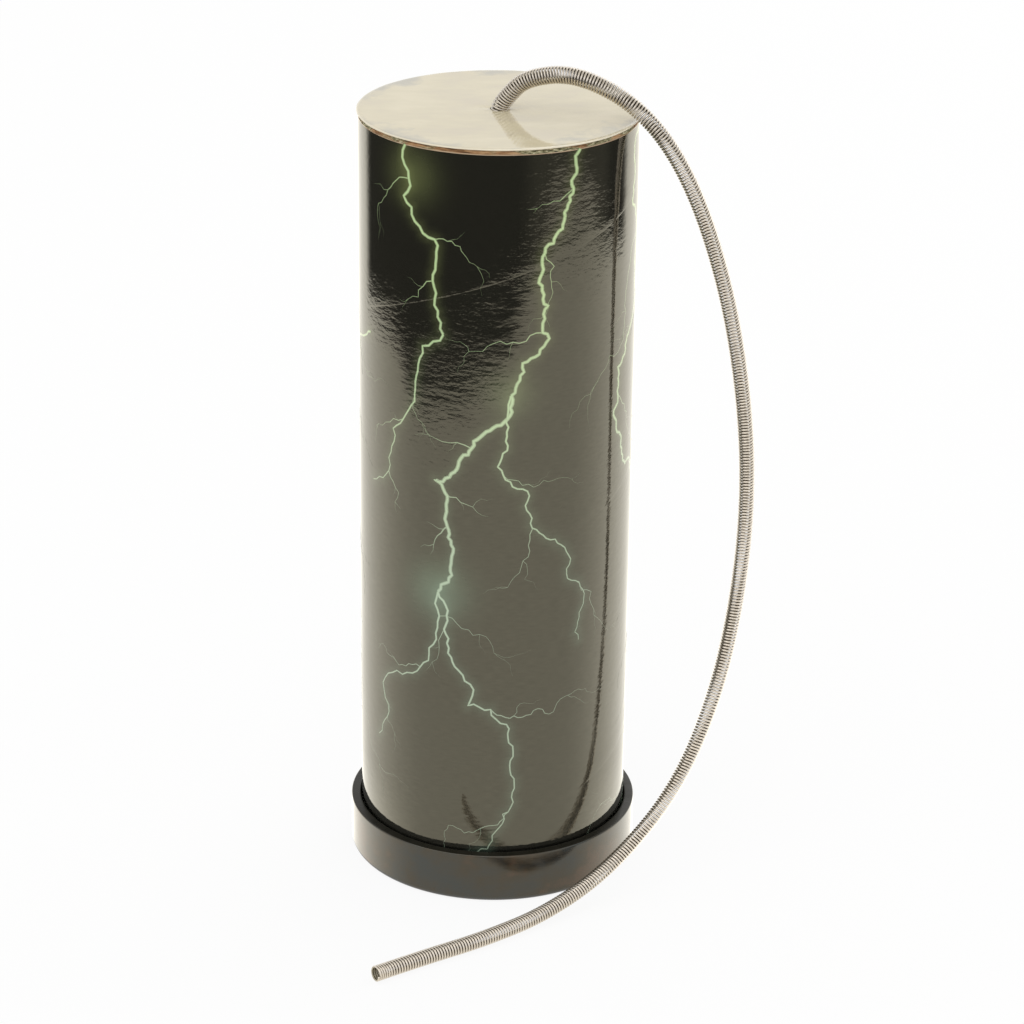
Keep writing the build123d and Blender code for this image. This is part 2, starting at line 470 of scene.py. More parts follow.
def ramp(tree, factor, stops):
    """A colour ramp: stops are (position, colour) pairs, with a grey given as one number."""
    node = tree.nodes.new("ShaderNodeValToRGB")
    elements = node.color_ramp.elements
    while len(elements) < len(stops):
        elements.new(1.0)
    for element, (position, colour) in zip(elements, stops):
        element.position = position
        element.color = (colour, colour, colour, 1) if isinstance(colour, float) else (*colour, 1)
    tree.links.new(factor, node.inputs["Fac"])
    return node.outputs["Color"]


def mix_colours(tree, factor, first, second, blend="MIX"):
    node = tree.nodes.new("ShaderNodeMix")
    node.data_type = "RGBA"
    node.blend_type = blend
    for name, value in (("Factor", factor), ("A", first), ("B", second)):
        if isinstance(value, (float, tuple)):
            node.inputs[name].default_value = value
        else:
            tree.links.new(value, node.inputs[name])
    return node.outputs["Result"]


def bump(tree, shader, height, distance):
    node = tree.nodes.new("ShaderNodeBump")
    node.inputs["Strength"].default_value = 1.0
    node.inputs["Distance"].default_value = distance
    tree.links.new(height, node.inputs["Height"])
    tree.links.new(node.outputs["Normal"], shader.inputs["Normal"])


# Printed sheet: gloss black with its ink, and the fine level ripple of a laminate
def printed_sheet():
    material, tree, shader = new_material("printed_sheet", IOR=2.0, Specular_Tint=SHEET_GLOSS_TINT)
    tree.links.new(painted(tree), shader.inputs["Base Color"])
    haze = wall_noise(tree, (60, 90))
    tree.links.new(ramp(tree, haze, [(0.3, 0.03), (0.7, 0.06)]), shader.inputs["Roughness"])
    streak = wall_noise(tree, (330, 2300), roughness=0.6)
    tree.links.new(ramp(tree, streak, [(0.3, 0.45), (0.7, 0.55)]), shader.inputs["Specular IOR Level"])
    wave = wall_noise(tree, (140, 400), detail=2.0)
    fleck = wall_noise(tree, (480, 900), roughness=0.55)
    rough_spots = ramp(tree, wall_noise(tree, (30, 45)), [(0.42, 0.3), (0.58, 1.0)])
    flecks = math_node(tree, "MULTIPLY", math_node(tree, "MULTIPLY", fleck, rough_spots), 1.5)
    bump(tree, shader, math_node(tree, "ADD", wave, flecks), distance=0.00003)
    return material


# Film: cream, glossy and clouded, with grey smears of glue under its rim, and a painted highlight on its
# edge
def cream_film():
    material, tree, shader = new_material("cream_film", IOR=1.52)
    cloud = noise(tree, object_place(tree, (60, 110, 110)), 1.0, 5.0, 0.6)
    cream = ramp(tree, cloud, [
        (0.33, (0.61, 0.54, 0.395)), (0.5, (0.645, 0.575, 0.40)), (0.67, (0.69, 0.615, 0.435)),
    ])
    radius = tree.nodes.new("ShaderNodeVectorMath")
    radius.operation = "LENGTH"
    tree.links.new(object_place(tree, (1 / HEAD_R, 1 / HEAD_R, 0)), radius.inputs[0])
    patch = noise(tree, object_place(tree, (75, 75, 75)), 1.0, 4.0, 0.6)
    reach = math_node(tree, "MULTIPLY", math_node(tree, "ADD", radius.outputs["Value"], patch), 0.5)
    smear = ramp(tree, reach, [(0.70, 0.0), (0.78, 0.75)])
    smeared = mix_colours(tree, smear, cream, (0.42, 0.405, 0.35, 1))
    # Painted highlight: the outermost rim and the cut side are lighter, as where the edge catches the light
    rim_highlight = ramp(tree, radius.outputs["Value"], [(0.985, 0.0), (0.991, 1.0)])
    tree.links.new(mix_colours(tree, rim_highlight, smeared, (0.73, 0.66, 0.50, 1)), shader.inputs["Base Color"])
    fine = noise(tree, object_place(tree, (300, 700, 700)), 1.0)
    tree.links.new(ramp(tree, fine, [(0.3, 0.015), (0.7, 0.04)]), shader.inputs["Roughness"])
    bump(tree, shader, cloud, distance=0.00004)
    return material


# Chipboard: orange-brown, with grey-green fibres where a ply has torn
def chipboard():
    material, tree, shader = new_material("chipboard", Roughness=0.85)
    ply = wall_noise(tree, (150, 1000), detail=6.0, roughness=0.75)
    brown = ramp(tree, ply, [
        (0.36, (0.06, 0.030, 0.010)), (0.44, (0.20, 0.095, 0.035)), (0.52, (0.40, 0.22, 0.10)),
        (0.64, (0.56, 0.38, 0.21)),
    ])
    fibre = wall_noise(tree, (700, 2500), detail=4.0, roughness=0.7)
    grey_green = ramp(tree, fibre, [
        (0.38, (0.035, 0.033, 0.014)), (0.48, (0.17, 0.15, 0.07)), (0.56, (0.42, 0.38, 0.22)),
        (0.64, (0.70, 0.66, 0.48)),
    ])
    torn = ramp(tree, wall_noise(tree, (75, 150)), [(0.45, 0.0), (0.51, 1.0)])
    tree.links.new(mix_colours(tree, torn, brown, grey_green), shader.inputs["Base Color"])
    bump(tree, shader, fibre, distance=0.00015)
    return material


# Kraft ply inside the tube
def kraft_ply():
    material, tree, shader = new_material("kraft_ply", Roughness=0.8)
    fibre = wall_noise(tree, (220, 900), detail=6.0, roughness=0.65)
    colour = ramp(tree, fibre, [(0.3, (0.30, 0.19, 0.10)), (0.7, (0.46, 0.32, 0.19))])
    tree.links.new(colour, shader.inputs["Base Color"])
    bump(tree, shader, fibre, distance=0.0001)
    return material


# Set glue
def set_glue():
    material, tree, shader = new_material("set_glue", Roughness=0.35)
    clot = wall_noise(tree, (400, 400))
    colour = ramp(tree, clot, [(0.35, (0.10, 0.075, 0.04)), (0.65, (0.32, 0.25, 0.14))])
    tree.links.new(colour, shader.inputs["Base Color"])
    bump(tree, shader, clot, distance=0.0001)
    return material


# Foot ring: gloss black, mottled blue and brown
def ring_black():
    material, tree, shader = new_material("ring_black", IOR=1.75, Specular_Tint=RING_GLOSS_TINT)
    mottle = wall_noise(tree, (60, 75), detail=4.0, roughness=0.6)
    colour = ramp(tree, mottle, [
        (0.38, (0.004, 0.014, 0.022)), (0.47, (0.012, 0.014, 0.015)), (0.54, (0.016, 0.011, 0.006)),
        (0.62, (0.052, 0.024, 0.013)),
    ])
    tree.links.new(colour, shader.inputs["Base Color"])
    rub = wall_noise(tree, (150, 350), detail=5.0, roughness=0.6)
    tree.links.new(ramp(tree, rub, [(0.3, 0.072), (0.7, 0.168)]), shader.inputs["Roughness"])
    bump(tree, shader, rub, distance=0.00002)
    return material


# Foot ring's top and bore: a darker, duller copy of the ring's black, painted shade where the top mirrors
# the dark tube wall
def ring_shaded_top():
    material, tree, shader = new_material("ring_shaded_top", IOR=1.3, Specular_Tint=RING_GLOSS_TINT)
    rub = wall_noise(tree, (150, 350), detail=5.0, roughness=0.6)
    colour = ramp(tree, rub, [(0.35, (0.006, 0.006, 0.004)), (0.65, (0.014, 0.013, 0.009))])
    tree.links.new(colour, shader.inputs["Base Color"])
    tree.links.new(ramp(tree, rub, [(0.3, 0.18), (0.7, 0.42)]), shader.inputs["Roughness"])
    bump(tree, shader, rub, distance=0.00002)
    return material


# Moulded nylon
def nylon():
    material, tree, shader = new_material("nylon", Roughness=0.45, IOR=1.53, Subsurface_Weight=0.1)
    cloud = noise(tree, object_place(tree), 600.0)
    colour = ramp(tree, cloud, [(0.3, (0.62, 0.60, 0.53)), (0.7, (0.74, 0.72, 0.65))])
    tree.links.new(colour, shader.inputs["Base Color"])
    bump(tree, shader, cloud, distance=0.00005)
    return material


# Zinc-plated screw
def zinc_steel():
    material, tree, shader = new_material("zinc_steel", Metallic=1.0)
    grain = noise(tree, object_place(tree), 900.0, 4.0, 0.6)
    colour = ramp(tree, grain, [(0.3, (0.50, 0.49, 0.45)), (0.7, (0.64, 0.62, 0.56))])
    tree.links.new(colour, shader.inputs["Base Color"])
    scratch = noise(tree, object_place(tree), 4000.0)
    tree.links.new(ramp(tree, scratch, [(0.3, 0.25), (0.7, 0.40)]), shader.inputs["Roughness"])
    bump(tree, shader, scratch, distance=0.000004)
    return material


# Spring wire: its base colour holds painted shade, dark on the side inside the coils and light on the side
# facing out, times a random grain
def spring_wire():
    material, tree, shader = new_material("spring_wire", Metallic=1.0)
    grain = noise(tree, object_place(tree), 900.0, 4.0, 0.6)
    worn = ramp(tree, grain, [(0.3, 0.78), (0.7, 1.0)])
    # Painted shade from the stored colours, times a random grain
    shade_and_grain = mix_colours(tree, 1.0, painted(tree), worn, "MULTIPLY")
    tree.links.new(shade_and_grain, shader.inputs["Base Color"])
    scratch = noise(tree, object_place(tree), 4000.0)
    tree.links.new(ramp(tree, scratch, [(0.3, 0.18), (0.7, 0.32)]), shader.inputs["Roughness"])
    bump(tree, shader, scratch, distance=0.000004)
    return material


# Spring
def spring_line():
    """Points of the route's smooth line, read from its spline."""
    curve = bpy.data.curves.new("spring_route", "CURVE")
    curve.dimensions = "3D"
    spline = curve.splines.new("NURBS")
    spline.points.add(len(SPRING_ROUTE) - 1)
    for point, place in zip(spline.points, SPRING_ROUTE):
        point.co = (*place, 1.0)
    spline.order_u = ROUTE_ORDER
    spline.use_endpoint_u = True
    spline.resolution_u = ROUTE_STEPS
    holder = bpy.data.objects.new("spring_route", curve)
    mesh = bpy.data.meshes.new_from_object(holder)
    line = np.array([v.co for v in mesh.vertices])
    bpy.data.objects.remove(holder)
    bpy.data.curves.remove(curve)
    bpy.data.meshes.remove(mesh)
    return line


def units(vectors):
    return vectors / np.linalg.norm(vectors, axis=1, keepdims=True)


def carried_sides(forward):
    """Side directions along a line, carried from point to point with no twist."""
    side = np.array([1.0, 0.0, 0.0])
    sides = []
    for direction in forward:
        side = side - direction * (side @ direction)
        side = side / np.linalg.norm(side)
        sides.append(side)
    return np.array(sides)


def wound_wire(line):
    """The wire's centre line, and at each of its points the direction out and the share of the length."""
    along = np.concatenate([[0.0], np.cumsum(np.linalg.norm(np.diff(line, axis=0), axis=1))])
    forward = units(np.gradient(line, along, axis=0))
    sides = carried_sides(forward)
    overs = np.cross(forward, sides)
    pitch = np.interp(along / along[-1], *zip(*PITCHES))
    turns = np.concatenate([[0.0], np.cumsum(np.diff(along) * 2 / (pitch[1:] + pitch[:-1]))])
    steps = int(turns[-1] * STEPS_PER_TURN)
    turn = np.arange(steps + 1) / STEPS_PER_TURN
    place = np.interp(turn, turns, along)

    def at(values):
        return np.column_stack([np.interp(place, along, values[:, i]) for i in range(3)])

    angle = 2 * math.pi * turn[:, None]
    outward = np.cos(angle) * at(sides) + np.sin(angle) * at(overs)
    share = place / along[-1]
    coil_r = (np.interp(share, *zip(*SPRING_ODS)) - WIRE_DIA) / 2
    return at(line) + coil_r[:, None] * outward, outward, share


def wire_colours(along):
    """Colours round the wire at each share of its length: painted shade inside the coils, and the metal's
    own colour outside.
    """
    facing = np.cos(full_turn(WIRE_SIDES))
    # Painted shade: the share of the outside colour grows as a side of the wire faces out of the coil
    unshaded = np.tile(np.clip(facing * SHADE_SLOPE + SHADE_MIDDLE, 0, 1), len(along))[:, None]
    steps_left = np.arange(len(along))[::-1]
    tip_share = np.clip(1 - steps_left / (TIP_TURNS * STEPS_PER_TURN), 0, 1)
    inside = WIRE_SHADED_INSIDE + (WIRE_TIP_SHADED_INSIDE - WIRE_SHADED_INSIDE) * np.repeat(tip_share, WIRE_SIDES)[:, None]
    shine = np.repeat(np.interp(along, *zip(*WIRE_SHINE)), WIRE_SIDES)[:, None]
    return (inside + (WIRE_OUTSIDE - inside) * unshaded) * shine


def make_spring(material):
    centres, outward, along = wound_wire(spring_line())
    forward = units(np.gradient(centres, axis=0))
    across = units(np.cross(forward, outward))
    upward = np.cross(across, forward)
    sides = []
    for angle in full_turn(WIRE_SIDES):
        sides.append(centres + WIRE_DIA / 2 * (math.cos(angle) * upward + math.sin(angle) * across))
    points = np.stack(sides, axis=1).reshape(-1, 3)
    faces = grid_faces(len(centres), WIRE_SIDES, close_columns=True)
    last = (len(centres) - 1) * WIRE_SIDES
    faces.append(tuple(reversed(range(WIRE_SIDES))))
    faces.append(tuple(range(last, last + WIRE_SIDES)))
    piece = add_mesh("coil_spring", points, faces, material)
    paint(piece, wire_colours(along))
    return piece


# Lightning strokes on the unrolled wall
class Stroke:
    """One jagged line of (arc, height) points, with a width and a brightness at each point."""

    def __init__(self, points, widths, light):
        self.points = points
        self.widths = widths
        self.light = light


def jagged(start, end, rng):
    """A line from start to end, broken again and again at its middles."""
    points = [np.array(start), np.array(end)]
    while np.linalg.norm(points[1] - points[0]) > BOLT_STEP:
        broken = []
        for a, b in zip(points, points[1:]):
            run = b - a
            aside = np.array([-run[1], run[0]]) * rng.uniform(-BOLT_SWAY, BOLT_SWAY)
            broken += [a, (a + b) / 2 + aside]
        points = broken + [points[-1]]
    line = np.array(points)
    line[:, 1] = np.clip(line[:, 1], WRAP_FOOT + BOLT_FOOT_GAP, WRAP_TOP - BOLT_HEAD_GAP)
    return line


def grow(strokes, start, end, width, light, level, rng, taper):
    """Adds a stroke, and the twigs that leave it."""
    points = jagged(start, end, rng)
    lost = (1 - taper) * np.linspace(0, 1, len(points))
    strokes.append(Stroke(points, width * (1 - lost), light * (1 - TIP_DIMMING * lost)))
    length = np.linalg.norm(np.array(end) - np.array(start))
    count = TWIGS.get(level, 0)
    hand = rng.choice((-1, 1))
    for twig in range(count):
        i = int(len(points) * (TWIG_FIRST + TWIG_SPAN * (twig + rng.uniform(*TWIG_SHIFT)) / count))
        run = points[min(i + HEADING_STEPS, len(points) - 1)] - points[max(i - HEADING_STEPS, 0)]
        turn = math.radians(rng.uniform(*TWIG_TURN)) * hand * (-1) ** twig
        heading = math.atan2(run[1], run[0]) + turn
        reach = length * rng.uniform(*TWIG_REACH)
        tip = points[i] + reach * np.array([math.cos(heading), math.sin(heading)])
        tip[1] = np.clip(tip[1], WRAP_FOOT + TWIG_GAP, WRAP_TOP - TWIG_GAP)
        twig_width = width * rng.uniform(*TWIG_WIDTH)
        grow(strokes, points[i], tip, twig_width, light * TWIG_LIGHT, level - 1, rng, TWIG_TAPER)


def wall_spot(spot):
    """An (angle in degrees, height) pair as an (arc, height) pair."""
    return np.array([math.radians(spot[0]) * WRAP_R, spot[1]])


def lightning():
    rng = random.Random(BOLT_SEED)
    strokes = []
    for start, end, width in BOLTS:
        taper = MAIN_TAPER if width > MAIN_WIDTH else SIDE_TAPER
        grow(strokes, wall_spot(start), wall_spot(end), width, 1.0, BOLT_LEVEL, rng, taper)
    return strokes


def by_height(heights, low, high):
    """A colour for each height, from low at the foot to high at the head."""
    share = np.clip((heights - LOW_COLOUR_TOP) / COLOUR_CHANGE, 0, 1)[:, None]
    return low + (high - low) * share


def stroke_tree(strokes):
    """The wide strokes' points, sorted so that the nearest one is found fast, either way round the wall."""
    spots = [spot for stroke in strokes if stroke.widths[0] > WIDE_STROKE for spot in stroke.points]
    turns = (-1, 0, 1)
    tree = KDTree(len(turns) * len(spots))
    for arc, height in spots:
        for turn in turns:
            tree.insert((round_the_wall(arc) + turn * AROUND, height, 0.0), 0)
    tree.balance()
    return tree


def ground_ink(places, tree):
    """The sheet's own colour: black, with the glow round the wide strokes and the bright spots."""
    near = np.array([tree.find((round_the_wall(arc), height, 0.0))[2] for arc, height in places])
    glow = GLOW_STRENGTH * np.exp(-((near / GLOW_REACH) ** 2))
    for spot, reach, strength in HOT_SPOTS:
        middle = wall_spot(spot)
        aside = round_the_wall(places[:, 0] - middle[0])
        far = (aside**2 + (places[:, 1] - middle[1]) ** 2) / reach**2
        glow += strength * np.exp(-far)
    return INK_BLACK + glow[:, None] * by_height(places[:, 1], LOW_GLOW, HIGH_GLOW)


def wall_strip(points, widths, offsets):
    """Places across a line on the unrolled wall, at offsets counted in half widths."""
    forward = units(np.gradient(points, axis=0))
    aside = np.column_stack([-forward[:, 1], forward[:, 0]])
    return points[:, None, :] + aside[:, None, :] * (widths[:, None, None] / 2) * offsets[None, :, None]


def seam_lift(strip):
    """How far the wound seam raises the sheet at each place of a strip."""
    rise = SEAM_SLOPE * AROUND
    above = strip[:, :, 1] - SEAM_AT_FRONT - SEAM_SLOPE * strip[:, :, 0]
    above = (above + rise / 2) % rise - rise / 2
    return np.maximum(np.interp(2 * above / SEAM_WIDTH, SEAM_ACROSS, SEAM_LIFTS), 0.0)


def strip_mesh(strips, lapped):
    """Points and faces of closed strips of (arc, height, lift) places, each laid over the last."""
    points = []
    faces = []
    for i, strip in enumerate(strips):
        rows, columns, _ = strip.shape
        base = len(points)
        for arc, height, lift in strip.reshape(-1, 3):
            radius = wall_radius(arc, height, lapped(arc)) + lift + i * STRIP_STEP
            points.append(wall_point(arc, height, radius))
        for face in grid_faces(rows, columns, close_columns=True):
            faces.append(tuple(base + k for k in reversed(face)))
        faces.append(tuple(range(base, base + columns)))
        faces.append(tuple(reversed(range(base + (rows - 1) * columns, base + rows * columns))))
    return points, faces


def halved(stroke):
    """The same stroke with a point more in the middle of each of its steps."""
    count = len(stroke.points)
    places = np.linspace(0, count - 1, 2 * count - 1)
    values = np.column_stack([stroke.points, stroke.widths, stroke.light])
    finer = np.column_stack([np.interp(places, np.arange(count), column) for column in values.T])
    return Stroke(finer[:, :2], finer[:, 2], finer[:, 3])


def make_lightning(strokes, tree, material):
    """The strokes as thin ink that melts into the glow at its edges, shaded as the wall under it."""
    strips = []
    colours = []
    for stroke in map(halved, strokes):
        strip = wall_strip(stroke.points, stroke.widths, INK_ACROSS)
        lift = INK_LIFT if stroke.widths[0] > WIDE_STROKE else TWIG_LIFT
        lifts = seam_lift(strip) + np.array([-INK_SINK, lift, lift, lift, -INK_SINK])
        strips.append(np.dstack([strip, lifts]))
        places = strip.reshape(-1, 2)
        ground = ground_ink(places, tree)
        bright = by_height(places[:, 1], LOW_BOLT, HIGH_BOLT)
        share = (stroke.light[:, None] * INK_SHARE[None, :]).reshape(-1, 1)
        colours.append(ground + (bright - ground) * share)
    points, faces = strip_mesh(strips, bridging_lap)
    piece = add_mesh("lightning_print", points, faces, material)
    outward = np.array(points) * (1, 1, 0)
    piece.data.normals_split_custom_set_from_vertices(units(outward))
    paint(piece, np.vstack(colours))
    return piece


def wrap_columns():
    """The arcs round the sheet, once round and then over its lap, each with whether it is on the lap."""
    half_lap = LAP_WIDTH / 2
    once = np.linspace(half_lap - AROUND / 2, AROUND / 2 - half_lap, WRAP_COLUMNS)
    twice = np.linspace(AROUND / 2 - half_lap, AROUND / 2 + half_lap, LAP_COLUMNS)
    return [(arc, False) for arc in once] + [(arc, True) for arc in twice]


def make_wrap(tree, material):
    """One turn of sheet, its lap at the back and its hand-cut upper edge, which shows the paper."""
    columns = wrap_columns()
    waves = random_waves(CUT_WAVES, CUT_SEED)
    level = [0.0 for _ in columns]
    cut = [CUT_WAVE * abs(wave_sum(waves, arc / WRAP_R)) for arc, _ in columns]
    points = []
    places = []
    for height in np.linspace(WRAP_FOOT, WRAP_TOP - CUT_BEVEL, WRAP_ROWS):
        for arc, lapped in columns:
            points.append(wall_point(arc, height, wall_radius(arc, height, lapped)))
            places.append((arc, height))
    ink = ground_ink(np.array(places), tree)
    for inset, top, dips in ((0.0, WRAP_TOP - CUT_INK_END, level), (CUT_INSET, WRAP_TOP, cut)):
        for (arc, lapped), dip in zip(columns, dips):
            height = top - dip
            points.append(wall_point(arc, height, wall_radius(arc, height, lapped) - inset))
    points += [wall_point(arc, WRAP_TOP - dip, CORE_R) for (arc, _), dip in zip(columns, cut)]
    points += [wall_point(arc, WRAP_FOOT, CORE_R) for arc, _ in columns]
    paper = np.tile(CUT_PAPER, (len(points) - len(ink), 1))
    faces = grid_faces(len(points) // len(columns), len(columns), close_rows=True, close_columns=True)
    piece = add_mesh("printed_sheet", points, faces, material)
    piece.data.set_sharp_from_angle(angle=SHARP_ANGLE)
    paint(piece, np.vstack([ink, paper]))
    return piece


def make_seam(tree, material):
    """The low step over the core's wound joint, from the foot to the head: steep below, and fading above."""
    arcs = np.array([arc + turn * AROUND for turn in SEAM_TURNS for arc, _ in wrap_columns()])
    arcs = np.unique(np.round(arcs, SEAM_DECIMALS))
    heights = SEAM_AT_FRONT + SEAM_SLOPE * arcs
    inside = (heights > WRAP_FOOT + SEAM_WIDTH) & (heights < WRAP_TOP - SEAM_WIDTH)
    line = np.column_stack([arcs, heights])[inside]
    across = np.column_stack([np.zeros(len(SEAM_ACROSS)), np.array(SEAM_ACROSS) * SEAM_WIDTH / 2])
    strip = line[:, None, :] + across[None, :, :]
    points, faces = strip_mesh([np.dstack([strip, np.tile(SEAM_LIFTS, (len(line), 1))])], in_lap)
    piece = add_mesh("wound_seam", points, faces, material)
    piece.data.set_sharp_from_angle(angle=SHARP_ANGLE)
    paint(piece, ground_ink(strip.reshape(-1, 2), tree))
    return piece


# Head: a film disc that dips at its hole, puckers a little and rolls over at its rim
def head_height(radius, angle):
    away = radius - HOLE_R
    dip = HEAD_DIP * math.exp(-away / DIP_REACH)
    pucker = PUCKER_HEIGHT * math.cos(PUCKER_COUNT * angle + PUCKER_PHASE) * math.exp(-away / PUCKER_REACH)
    swell = SWELL_HEIGHT * math.sin(SWELL_COUNT * angle + SWELL_PHASE) * math.sin(math.pi * radius / HEAD_R)
    roll = ROLL_DEPTH * max(0.0, (radius - HEAD_R + ROLL_WIDTH) / ROLL_WIDTH) ** 2
    return HEAD_TOP - dip + pucker + swell - roll


def make_head(material):
    radii = [HOLE_R + LIP_STEP * k for k in range(LIP_STEPS)]
    radii += list(np.linspace(DISC_START, HEAD_R - EDGE_ZONE, DISC_STEPS))
    radii += list(np.linspace(HEAD_R - EDGE_START, HEAD_R - EDGE_ROUND, EDGE_STEPS))
    profile = [("top", radius) for radius in radii]
    profile += [("side", HEAD_BOTTOM + EDGE_BREAK), ("under", HEAD_R - EDGE_BREAK), ("under", HOLE_R)]
    waves = random_waves(TRIM_WAVES, TRIM_SEED)
    points = []
    for kind, value in profile:
        for angle in full_turn(HEAD_SEGMENTS):
            radius = HEAD_R if kind == "side" else value
            if radius > HEAD_R - EDGE_ZONE:
                radius += TRIM_WAVE * wave_sum(waves, angle)
            height = {"top": head_height(value, angle), "side": value, "under": HEAD_BOTTOM}[kind]
            points.append(turned_point(radius, angle, height))
    faces = grid_faces(len(profile), HEAD_SEGMENTS, close_rows=True, close_columns=True)
    piece = add_mesh("film_head", points, [tuple(reversed(face)) for face in faces], material)
    piece.data.set_sharp_from_angle(angle=HEAD_SHARP_ANGLE)
    return piece


# Raw rim: the core's torn surface between the wrap's edge and the glue
def make_raw_rim(material):
    heights = np.linspace(WRAP_TOP - RIM_OVERLAP, CORE_TOP - RIM_TOP_GAP, RIM_ROWS)
    rows = [(heights[0], RIM_SUNK)]
    rows += [(height, RIM_TUFTS) for height in heights[1:-1]]
    rows += [(heights[-1], RIM_SUNK), (heights[RIM_ROWS // 2], RIM_BACK)]
    rng = random.Random(RIM_SEED)
    points = []
    for height, tufts in rows:
        for angle in full_turn(RIM_SEGMENTS):
            points.append(turned_point(CORE_R + rng.uniform(*tufts), angle, height))
    faces = grid_faces(len(rows), RIM_SEGMENTS, close_rows=True, close_columns=True)
    return add_mesh("raw_rim", points, faces, material)


# Foot ring: an L section with rounded edges, turned round the tube's axis
def ring_section():
    section = [(RING_LIP_R, 0.0), (RING_R - FOOT_ROUND - ROUND_MARGIN, 0.0)]
    section += round_corner((RING_R - FOOT_ROUND, FOOT_ROUND), FOOT_ROUND, -90, 0)
    section += [(RING_R, FOOT_ROUND + ROUND_MARGIN), (RING_R, RING_TOP - TOP_ROUND - ROUND_MARGIN)]
    section += round_corner((RING_R - TOP_ROUND, RING_TOP - TOP_ROUND), TOP_ROUND, 0, 90)
    section += [(RING_BORE_R + LEAD_IN + ROUND_MARGIN, RING_TOP)]
    section += round_corner((RING_BORE_R + LEAD_IN, RING_TOP - LEAD_IN), LEAD_IN, 90, 180)
    section += [(RING_BORE_R, RING_FLOOR), (RING_LIP_R, RING_FLOOR)]
    return section


def make_ring(side_material, shaded_top_material):
    section = ring_section()
    points = []
    for radius, height in section:
        points += [turned_point(radius, angle, height) for angle in full_turn(RING_SEGMENTS)]
    faces = grid_faces(len(section), RING_SEGMENTS, close_rows=True, close_columns=True)
    piece = add_mesh("foot_ring", points, faces, side_material)
    piece.data.set_sharp_from_angle(angle=SHARP_ANGLE)
    # The faces that face up and the bore take the darker copy: painted shade
    piece.data.materials.append(shaded_top_material)
    inner_r = RING_R - TOP_ROUND - ROUND_MARGIN
    for face in piece.data.polygons:
        on_top = face.normal.z > FACING_UP or Vector(face.center.xy).length < inner_r
        face.material_index = int(on_top and face.center.z > RING_FLOOR)
    return piece


def dress(node, material):
    """Gives a kept node its finish."""
    nodes[node].data.materials.clear()
    nodes[node].data.materials.append(material)


def build_object():
    sheet = printed_sheet()
    board = chipboard()
    strokes = lightning()
    tree = stroke_tree(strokes)
    tube_pieces = {
        "wrap": [make_wrap(tree, sheet), make_lightning(strokes, tree, sheet), make_seam(tree, sheet)],
        "film": [make_head(cream_film())],
        "chipboard": [make_raw_rim(board)],
        "ring": [make_ring(ring_black(), ring_shaded_top())],
    }
    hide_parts("printed_wrap")
    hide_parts("drum_head")
    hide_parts("base_ring")
    for slot, pieces in tube_pieces.items():
        for piece in pieces:
            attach(piece, "tube")
    dress("tube_core", board)
    dress("inner_liner", kraft_ply())
    dress("head_glue", set_glue())
    dress("anchor_bushing", nylon())
    dress("anchor_screw", zinc_steel())
    spring = make_spring(spring_wire())
    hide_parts("spring")
    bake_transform(spring)


# Floor, cards for the gloss to mirror, lamps and camera
def seen_directly(tree):
    """1 for rays that show the background: straight, mirrored or through glass."""
    path = tree.nodes.new("ShaderNodeLightPath")
    mirrored = math_node(tree, "MAXIMUM", path.outputs["Is Camera Ray"], path.outputs["Is Glossy Ray"])
    return math_node(tree, "MAXIMUM", mirrored, path.outputs["Is Transmission Ray"])


def bare_material(name):
    """A material whose nodes are still to be added, and its tree."""
    material = bpy.data.materials.new(name)
    material.use_nodes = True
    material.node_tree.nodes.clear()
    return material, material.node_tree


def make_floor():
    material, tree = bare_material("pale_floor")
    matte = tree.nodes.new("ShaderNodeBsdfDiffuse")
    matte.inputs["Color"].default_value = FLOOR_COLOUR
    white = tree.nodes.new("ShaderNodeEmission")
    mix = tree.nodes.new("ShaderNodeMixShader")
    output = tree.nodes.new("ShaderNodeOutputMaterial")
    tree.links.new(math_node(tree, "MULTIPLY", seen_directly(tree), FLOOR_WHITE), mix.inputs["Fac"])
    tree.links.new(matte.outputs[0], mix.inputs[1])
    tree.links.new(white.outputs[0], mix.inputs[2])
    tree.links.new(mix.outputs[0], output.inputs["Surface"])
    half = FLOOR_SIZE / 2
    corners = [(-half, -half, 0), (half, -half, 0), (half, half, 0), (-half, half, 0)]
    floor = add_mesh("floor", corners, [(0, 1, 2, 3)], material)


def add_card(name, points, faces):
    """A studio card that only the gloss sees. Returns it with its nodes, for the light to be set."""
    material, tree = bare_material(name)
    glow = tree.nodes.new("ShaderNodeEmission")
    output = tree.nodes.new("ShaderNodeOutputMaterial")
    tree.links.new(glow.outputs[0], output.inputs["Surface"])
    card = add_mesh(name, points, faces, material)
    card.visible_camera = False
    card.visible_diffuse = False
    card.visible_transmission = False
    card.visible_shadow = False
    return card, tree, glow


def smooth_step(low, high, value):
    share = min(max((value - low) / (high - low), 0.0), 1.0)
    return share * share * (3 - 2 * share)


